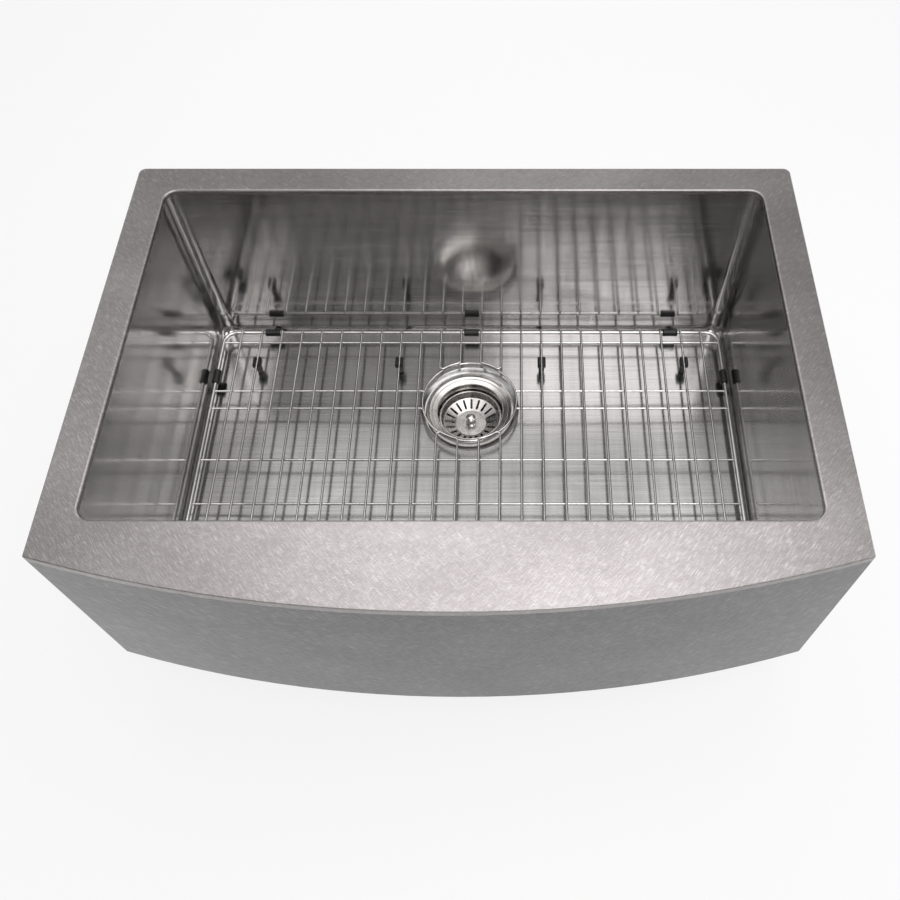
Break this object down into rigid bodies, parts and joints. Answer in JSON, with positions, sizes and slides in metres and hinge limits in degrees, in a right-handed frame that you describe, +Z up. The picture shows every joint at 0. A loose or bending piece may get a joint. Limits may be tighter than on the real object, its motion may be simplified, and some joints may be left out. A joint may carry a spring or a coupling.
{
  "type": "apron front kitchen sink",
  "caption": "Stainless farmhouse kitchen sink with a bowed apron front, single rectangular bowl, lift-out wire bottom grid and basket strainer.",
  "frame": {"origin": "level with the deck's top face, at the middle of its rear edge; the mount deck_top is stated 2 mm in from that edge, where the face is flat", "axes": "+Z up, out of the deck; +X to the right across the sink seen from the apron; the apron faces -Y"},
  "size_m": [0.762, 0.5525, 0.331],
  "materials": {
    "brushed_sheet": "fine random brushed",
    "wire_steel": "electropolished",
    "strainer_steel": "polished",
    "black_rubber": "matte",
    "damping_rubber": "matte",
    "sealing_putty": "matte",
    "washer_fibre": "matte",
    "washer_plastic": "matte",
    "nut_metal": "machined"
  },
  "bodies": {
    "sink": {"bowl": "brushed_sheet", "deck": "brushed_sheet", "apron": "brushed_sheet", "apron_brace_left": "brushed_sheet", "apron_brace_right": "brushed_sheet", "sound_pad_left": "damping_rubber", "sound_pad_right": "damping_rubber", "sound_pad_rear": "damping_rubber", "sound_pad_front": "damping_rubber", "sound_pad_bottom_left": "damping_rubber", "sound_pad_bottom_right": "damping_rubber", "strainer_body": "strainer_steel", "flange_seal": "sealing_putty", "strainer_gasket": "black_rubber", "friction_washer": "washer_fibre", "strainer_locknut": "nut_metal", "tailpiece_washer": "washer_plastic", "coupling_nut": "nut_metal"},
    "bottom_grid": {"grid_frame": "wire_steel", "grid_long_wires": "wire_steel", "grid_finger_wires": "wire_steel", "grid_cross_wires": "wire_steel", "grid_ring": "wire_steel", "grid_foot_rear_far_left": "black_rubber", "grid_foot_rear_mid_left": "black_rubber", "grid_foot_rear_mid_right": "black_rubber", "grid_foot_rear_far_right": "black_rubber", "grid_foot_front_far_left": "black_rubber", "grid_foot_front_mid_left": "black_rubber", "grid_foot_front_mid_right": "black_rubber", "grid_foot_front_far_right": "black_rubber", "grid_bumper_rear_left": "black_rubber", "grid_bumper_rear_middle": "black_rubber", "grid_bumper_rear_right": "black_rubber", "grid_bumper_front_left": "black_rubber", "grid_bumper_front_middle": "black_rubber", "grid_bumper_front_right": "black_rubber", "grid_bumper_left_rear": "black_rubber", "grid_bumper_left_front": "black_rubber", "grid_bumper_right_rear": "black_rubber", "grid_bumper_right_front": "black_rubber"},
    "strainer_basket": {"basket": "strainer_steel", "basket_post": "strainer_steel", "basket_stopper": "black_rubber"}
  },
  "joints": [
    {"name": "grid_lift", "type": "slide", "parent": "sink", "child": "bottom_grid", "axis": [0, 0, 1], "range_m": [0, 0.27]},
    {"name": "basket_lift", "type": "slide", "parent": "sink", "child": "strainer_basket", "axis": [0, 0, 1], "range_m": [0, 0.32]}
  ]
}
